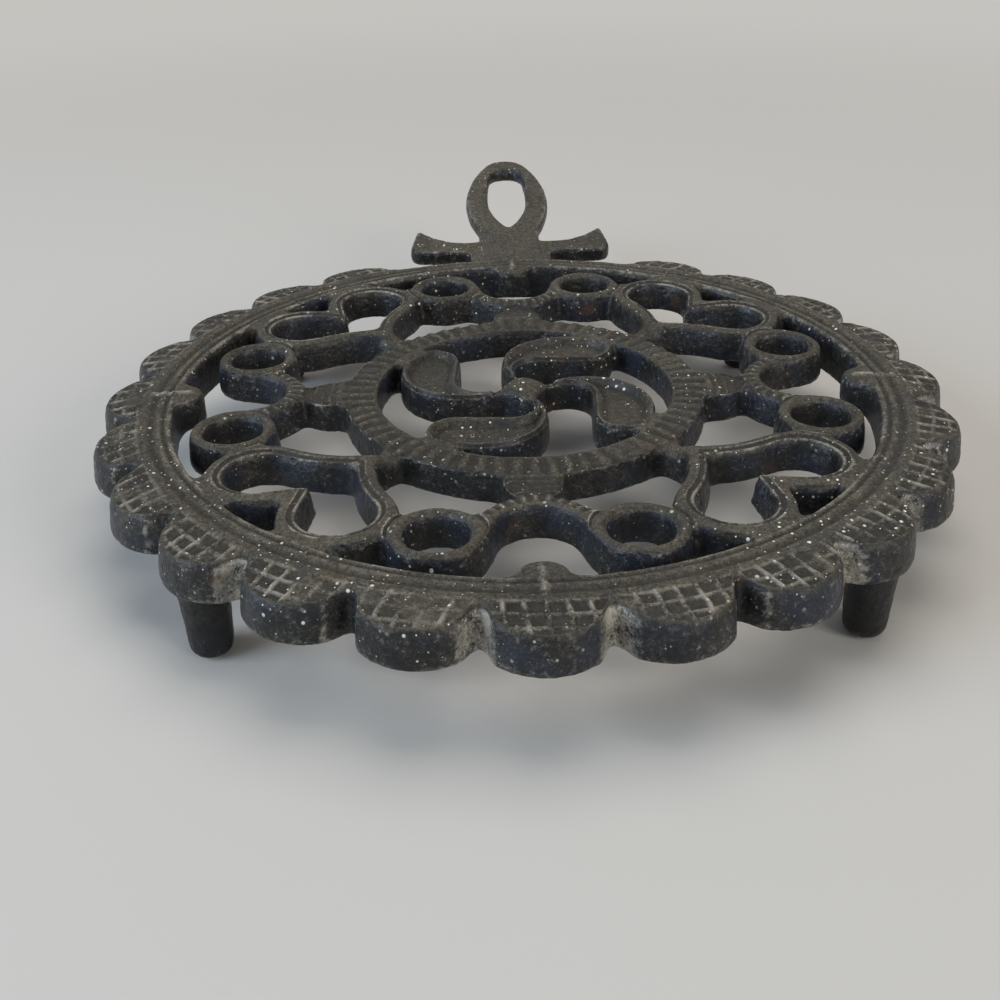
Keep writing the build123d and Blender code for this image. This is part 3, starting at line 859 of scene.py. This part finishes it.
# %% [markdown]
# ## Back into members
# The library wants the members one by one, so the carved skin is cut where the frame parts them. A copy of
# each member, grown by half a millimetre, is a cell that holds its share of the skin. Members that don't
# touch can share one cutter, so two cutters are enough: the first takes the rim, the hub, the button and the
# eyelets, the second takes every other scallop, the feet and the stem, and the rest falls apart by itself.

# %% Cut the skin
GROWTH = 0.5 * MM


def cut_with(thing, cell, operation):
    """The part of a mesh inside a cell, or outside it."""
    modifier = thing.modifiers.new("cell", "BOOLEAN")
    modifier.operation = operation
    modifier.solver = "MANIFOLD"
    modifier.object = cell
    mesh = plain_mesh(thing)
    thing.modifiers.remove(modifier)
    return mesh


def cell_of(name, members):
    """The shared cutter of some members that don't touch."""
    cell = shown(name, joined(members, GROWTH))
    cell.hide_render = True
    return cell


scallops = sorted(name for name in nodes if name.startswith("scallop_"))
eyelets = [name for name in nodes if name.startswith("eyelet_")]
feet = [name for name in nodes if name.startswith("foot_")]
first_cell = cell_of("first_cell", ["rim_band", "hub_ring", "whirl_boss", *eyelets])
second_cell = cell_of("second_cell", [*scallops[::2], "handle_stem", *feet])
first = shown("first", cut_with(skin, first_cell, "INTERSECT"))
rest = shown("rest", cut_with(skin, first_cell, "DIFFERENCE"))
second = shown("second", cut_with(rest, second_cell, "INTERSECT"))
third = shown("third", cut_with(rest, second_cell, "DIFFERENCE"))
groups = (first, second, third)
for group in groups:
    print(group.name, len(group.data.polygons), "faces")

# %% [markdown]
# A cut leaves new points that know nothing of the skin's wear or of its soft normals. Each point looks up
# the nearest place on the whole skin and takes its values from there, so the joints between the members
# don't show.

# %% Look up the skin
MARKS = ("hatch", "carved", "valley", "turned", *WEAR_STEPS)
KEPT = {**dict.fromkeys(MARKS, "FLOAT"), "skin_normal": "FLOAT_VECTOR"}


def named(b, name, kind="FLOAT"):
    """A value kept on the points under a name."""
    return b.add("GeometryNodeInputNamedAttribute", {"data_type": kind}, {"Name": name})


def look_up_tree():
    """Takes the kept values from the nearest place on the skin and numbers the islands."""
    b, size = carving_tree("look_up", {"Skin": skin})
    whole = b.output_of(b.add("GeometryNodeObjectInfo", None, {"Object": size["Skin"]}), "Geometry")
    geometry = size["Geometry"]
    for name, kind in KEPT.items():
        settings = {"data_type": kind}
        inputs = {"Mesh": whole, "Value": named(b, name, kind)}
        value = b.add("GeometryNodeSampleNearestSurface", settings, inputs)
        geometry = stored(b, geometry, name, value, kind)
    geometry = stored(b, geometry, "island", b.add("GeometryNodeInputMeshIsland"), "INT")
    b.finish(geometry)
    return b


look_up = look_up_tree()
for group in groups:
    group.data = run_tree(group, look_up, {"Skin": skin})
print(f"{len(KEPT)} values looked up for each point")

# %% [markdown]
# Each group now holds members that don't touch, so each island of its mesh is one member. Separating by
# loose parts in edit mode would do it by hand. A small tree keeps one island at a time and gives it the
# skin's normals, and the box of the result tells which member it is.

# %% Part the members
SAME_NUMBER = 0.1
SLIVER = 400


def island_tree():
    """Keeps one island and shades it with the skin's normals."""
    b, size = carving_tree("island", {"Island": 0.0})
    settings = {"data_type": "FLOAT", "operation": "NOT_EQUAL"}
    inputs = {"A": named(b, "island"), "B": size["Island"], "Epsilon": SAME_NUMBER}
    other = b.add("FunctionNodeCompare", settings, inputs)
    inputs = {"Geometry": size["Geometry"], "Selection": other}
    geometry = b.add("GeometryNodeDeleteGeometry", {"domain": "POINT"}, inputs)
    inputs = {"Mesh": geometry, "Custom Normal": named(b, "skin_normal", "FLOAT_VECTOR")}
    geometry = b.add("GeometryNodeSetMeshNormal", {"mode": "FREE", "domain": "POINT"}, inputs)
    b.finish(geometry)
    return b


def islands(group):
    """The meshes of a group's islands, without slivers."""
    numbers = np.empty(len(group.data.vertices), np.int32)
    group.data.attributes["island"].data.foreach_get("value", numbers)
    sizes = np.bincount(numbers)
    tree = island_tree()
    return [run_tree(group, tree, {"Island": float(i)}) for i in np.flatnonzero(sizes > SLIVER)]


def box_of(mesh):
    """A mesh's lowest and highest corner."""
    spots = np.empty(len(mesh.vertices) * 3, np.float32)
    mesh.vertices.foreach_get("co", spots)
    spots = spots.reshape(-1, 3)
    return spots.min(axis=0), spots.max(axis=0)


def nearest_member(mesh):
    """The member whose box is most like the mesh's."""
    box = np.array(box_of(mesh))
    return min(nodes, key=lambda name: np.abs(box - np.array(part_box(name))).sum())


pieces = {}
for group in groups:
    for mesh in islands(group):
        name = nearest_member(mesh)
        assert name not in pieces, name
        pieces[name] = shown("cast_" + name, mesh)
assert set(pieces) == set(nodes), set(nodes) - set(pieces)
for tool in (skin, rest, first_cell, second_cell, heart_guide, leaf_guide, *groups):
    bpy.data.objects.remove(tool)
counts = {name: len(piece.data.loops) - 2 * len(piece.data.polygons) for name, piece in pieces.items()}
most = max(counts, key=counts.get)
print(f"{len(pieces)} pieces, {sum(counts.values())} triangles, most in {most}: {counts[most]}")

# %% [markdown]
# ## Black iron
# The finish is bare iron blackened by heat and handling. The walls are nearly black, with patches of painted
# blue sheen and painted glints, the tops are brown-grey with dust, the edges are rubbed to grey metal, the
# hollows are darkened with painted shade, the feet with soot and painted shade, and pale specks lie all
# over it.
# One material mixes these by where they belong, from the values kept on the points and from noise. Painting
# it on an image would look the same, but it would have to be redone whenever the shape changed.

# %% Colours of the finish
BLACK_IRON = (0.0050, 0.0054, 0.0066, 1)
GREY_IRON = (0.031, 0.029, 0.0255, 1)
# A blue laid into the walls as painted sheen, for the reflection of a cool lamp.
PAINTED_BLUE_SHEEN = (0.0125, 0.0185, 0.034, 1)
# A pale grey for painted glints of metallic sheen on the walls.
PAINTED_SHEEN_FLECK = (0.125, 0.125, 0.125, 1)
DARK_DUST = (0.021, 0.0185, 0.0136, 1)
PALE_DUST = (0.132, 0.118, 0.090, 1)
RUBBED_IRON = (0.42, 0.395, 0.345, 1)
CREASE_IRON = (0.58, 0.55, 0.48, 1)
# Near-black laid into the hollows as painted shade, and on the feet as soot with painted shade.
SOOT_AND_SHADE = (0.005, 0.005, 0.005, 1)
RUST = (0.075, 0.034, 0.016, 1)
CRUMB = (0.80, 0.76, 0.67, 1)
print("walls from", BLACK_IRON[:3], "to", GREY_IRON[:3])

# %% [markdown]
# The specks are flour and dust that never quite wash off. Scattered grains would be thousands of tiny
# pieces, so they are dots in the cells of a Voronoi pattern, and only some of the cells get one.

# %% Specks
BIG_SPECKS = {"size": 1.7, "radius": 0.29, "share": 0.5}
SMALL_SPECKS = {"size": 0.9, "radius": 0.15, "share": 0.3}


def crumbs(b, local, size, radius, share):
    """Specks of dust: a soft dot in some of the cells of a cell pattern."""
    cells = b.add("ShaderNodeTexVoronoi", {"feature": "F1"}, {"Vector": local, "Scale": 1 / size})
    luck, girth, _ = b.parts(b.output_of(cells, "Color"))
    reach = radius / size * (0.5 + girth)
    dot = 1 - b.ramp(cells / reach, 0.55, 1.0)
    return dot * b.ramp(luck, 1 - share, 1 - share + 0.02)


# %% [markdown]
# The layers go on in this order: the blackened walls with painted blue sheen and painted glints, the dust
# on what faces up, painted shade in the hollows, rubbed edges, bare creases, a little rust, soot and
# painted shade on the feet, and the specks last of all.

# %% The finish
BROAD, PATCH, BLOTCH, FINE, SAND_GRAIN = 15.0, 9.0, 4.0, 0.9, 0.35
RUST_SIZE, STREWN_SIZE = 7.0, 32.0
FOOT_HEIGHT = 13.8
SPECULAR, COAT_ROUGHNESS = 0.22, 0.32


def iron_finish(material):
    """Fills the iron's node tree."""
    material.use_nodes = True
    tree = material.node_tree
    shader = tree.nodes["Principled BSDF"]
    b = Bench(tree)
    local = b.scaled(b.output_of(b.add("ShaderNodeTexCoord"), "Object"), 1 / MM)
    facing = b.parts(b.output_of(b.add("ShaderNodeNewGeometry"), "Normal"))[2]
    broad = b.noise(local, BROAD, 2.0)
    blotch = b.noise(local, BLOTCH, 4.0)
    patch = b.noise(local, PATCH, 2.0, 2.0)
    fine = b.noise(local, FINE, 3.0)
    sand = b.noise(local, SAND_GRAIN, 1.0)
    grain = fine * 0.5 + sand * 0.5
    near, far = b.attribute("edge_near"), b.attribute("edge_far")
    hatch, carved, valley = b.attribute("hatch"), b.attribute("carved"), b.attribute("valley")
    wall = b.mix(b.ramp(blotch * 0.4 + grain * 0.6, 0.41, 0.69), BLACK_IRON, GREY_IRON)
    # Painted sheen: patches of blue stand in for the cool lamp's reflection on the walls.
    wall = b.mix(b.ramp(patch * 0.8 + grain * 0.2, 0.45, 0.62) * 0.7, wall, PAINTED_BLUE_SHEEN)
    # Painted glints: pale flecks stand in for metallic sheen on the walls.
    wall = b.mix(b.ramp(grain, 0.53, 0.66) * b.ramp(blotch, 0.35, 0.6) * 0.5, wall, PAINTED_SHEEN_FLECK)
    dust = b.mix(b.ramp(broad * 0.25 + grain * 0.75, 0.34, 0.7), DARK_DUST, PALE_DUST)
    settled = 0.5 + 0.5 * b.ramp(blotch * 0.6 + grain * 0.4, 0.34, 0.58)
    lying = b.ramp(facing + (blotch - 0.5) * 0.3, 0.25, 0.9) * settled
    colour = b.mix(0.04 + 0.92 * lying, wall, dust)
    # Painted shade: cuts, leaf dishes and inner corners are darkened towards black where shade would fall.
    recess_shade = b.maths("MAXIMUM", b.ramp(carved, 0.1, 0.34), b.ramp(-far, 0.03, 0.2))
    colour = b.mix(recess_shade * 0.55, colour, SOOT_AND_SHADE)
    edge = b.ramp(near + (fine - 0.5) * 0.06, 0.025, 0.09) * (1 - 0.8 * b.attribute("turned"))
    rubbed = b.maths("MAXIMUM", edge, hatch) * b.ramp(blotch * 0.6 + grain * 0.4, 0.42, 0.6)
    colour = b.mix(rubbed * 0.62, colour, RUBBED_IRON)
    bare = valley * b.ramp(grain * 0.6 + blotch * 0.4, 0.36, 0.6)
    colour = b.mix(bare * 0.9, colour, CREASE_IRON)
    rust = b.ramp(b.noise(local, RUST_SIZE, 4.0, 7.0), 0.64, 0.74)
    colour = b.mix(rust * 0.55, colour, RUST)
    # Darker towards the bottom: soot with painted shade on the feet and the underside below the rim.
    low = 1 - b.ramp(b.parts(local)[2], FOOT_HEIGHT - 2, FOOT_HEIGHT + 0.5)
    colour = b.mix(low * 0.75, colour, SOOT_AND_SHADE)
    open_side = b.ramp(facing, -0.3, 0.4) * (1 - low)
    strewn = b.ramp(b.noise(local, STREWN_SIZE, 2.0, 4.0), 0.42, 0.62)
    specks = crumbs(b, local, **BIG_SPECKS) * strewn
    specks = b.maths("MAXIMUM", specks, crumbs(b, local, **SMALL_SPECKS) * (0.25 + 0.75 * strewn))
    colour = b.mix(specks * open_side, colour, CRUMB)
    gloss = b.maths("MAXIMUM", rubbed, bare * 0.4)
    roughness = 0.4 + 0.2 * blotch + 0.25 * lying - 0.1 * gloss
    height = sand * 0.1 + fine * 0.24 + blotch * 0.24 + specks * 0.1
    bump = b.add("ShaderNodeBump", None, {"Height": height, "Distance": MM, "Strength": 1.0})
    metal = gloss * 0.5
    linked = {"Base Color": colour, "Roughness": roughness, "Metallic": metal, "Normal": bump}
    linked["Coat Weight"] = (1 - lying) * (0.06 + 0.44 * blotch)
    for name, value in linked.items():
        tree.links.new(value.socket, shader.inputs[name])
    shader.inputs["Specular IOR Level"].default_value = SPECULAR
    shader.inputs["Coat Roughness"].default_value = COAT_ROUGHNESS


iron_finish(iron)
print("iron:", len(iron.node_tree.nodes), "nodes")

# %% [markdown]
# ## Stage
# A pale floor and broad soft lamps, as on a studio table: a large one overhead for the tops, a cool one low
# on the left, like a window, and a warm one on the right, so that the walls read.

# %% Lamps
LAMPS = {
    "window_left": ((-0.8, -0.35, 0.42), 0.6, 7.0, (0.70, 0.84, 1.0)),
    "ceiling": ((0.1, 0.3, 1.1), 0.9, 6.8, (1.0, 0.96, 0.90)),
    "lamp_right": ((0.75, -0.75, 0.5), 0.5, 5.5, (1.0, 0.95, 0.87)),
}


def soft_lamp(name, place, size, power, colour):
    """A square area lamp aimed at the plate."""
    data = bpy.data.lights.new(name, "AREA")
    data.size = size
    data.energy = power
    data.color = colour
    lamp = bpy.data.objects.new(name, data)
    bpy.context.scene.collection.objects.link(lamp)
    lamp.location = place
    lamp.rotation_euler = (plate_centre - Vector(place)).to_track_quat("-Z", "Y").to_euler()


for name, (place, size, power, colour) in LAMPS.items():
    soft_lamp(name, place, size, power, colour)
print("lamps:", *LAMPS)

# %% [markdown]
# The floor takes the trivet's shadow. Further off the lamps would leave it patchy, so there the camera and
# the gloss see an even paper colour instead, by way of Light Path.

# %% Floor
FLOOR_WIDTH = 6.0
PAPER = (0.56, 0.545, 0.52, 1)
PAPER_ROUGHNESS = 0.8
PAPER_FADE = (0.2, 0.6)


def looking(b):
    """1 for a ray that looks at the background: from the camera, off gloss or through glass."""
    ray = b.add("ShaderNodeLightPath")
    share = ray + b.output_of(ray, "Is Glossy Ray") + b.output_of(ray, "Is Transmission Ray")
    return b.maths("MINIMUM", share, 1.0)


def paper_finish(material):
    """Matt paper that takes the trivet's shadow and looks evenly pale further off."""
    material.use_nodes = True
    tree = material.node_tree
    b = Bench(tree)
    matt = tree.nodes["Principled BSDF"]
    matt.inputs["Base Color"].default_value = PAPER
    matt.inputs["Roughness"].default_value = PAPER_ROUGHNESS
    spot = b.output_of(b.add("ShaderNodeTexCoord"), "Object")
    far = b.ramp(b.vector("LENGTH", spot), *PAPER_FADE)
    even = b.add("ShaderNodeEmission", None, {"Color": PAPER})
    seen = far * looking(b)
    both = b.add("ShaderNodeMixShader", None, {0: seen, 1: Wire(b, matt.outputs["BSDF"]), 2: even})
    tree.links.new(both.socket, tree.nodes["Material Output"].inputs["Surface"])


bpy.ops.mesh.primitive_plane_add(size=FLOOR_WIDTH)
floor = bpy.context.object
floor.name = "floor"
paper = bpy.data.materials.new("paper")
paper_finish(paper)
floor.data.materials.append(paper)
print(f"floor {FLOOR_WIDTH} m wide")

# %% [markdown]
# The sky lights the iron only faintly. What the camera and the gloss see of it is as pale as the floor.

# %% Sky
SKY, SKY_LIGHT = (0.93, 0.95, 1.0, 1), 0.2


def pale_sky(world):
    """A world that lights faintly and looks as pale as the floor."""
    world.use_nodes = True
    world.node_tree.nodes.clear()
    b = Bench(world.node_tree)
    faint = b.add("ShaderNodeBackground", None, {"Color": SKY, "Strength": SKY_LIGHT})
    seen = b.add("ShaderNodeBackground", None, {"Color": PAPER})
    both = b.add("ShaderNodeMixShader", None, {0: looking(b), 1: faint, 2: seen})
    b.add("ShaderNodeOutputWorld", None, {"Surface": both}, None)


bpy.context.scene.world = bpy.data.worlds.new("studio")
pale_sky(bpy.context.scene.world)
bpy.context.scene.view_settings.view_transform = "Standard"
print("sky strength", SKY_LIGHT)

# %% [markdown]
# ## The pieces on the body
# The trivet has no moving parts, so every piece rides on the one body, in place of the member that it was
# cut from and in the same iron.

# %% The pieces on the body
for name, piece in pieces.items():
    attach(piece, "root")
    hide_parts(name)
print("cad box", [list(v) for v in cad_box])
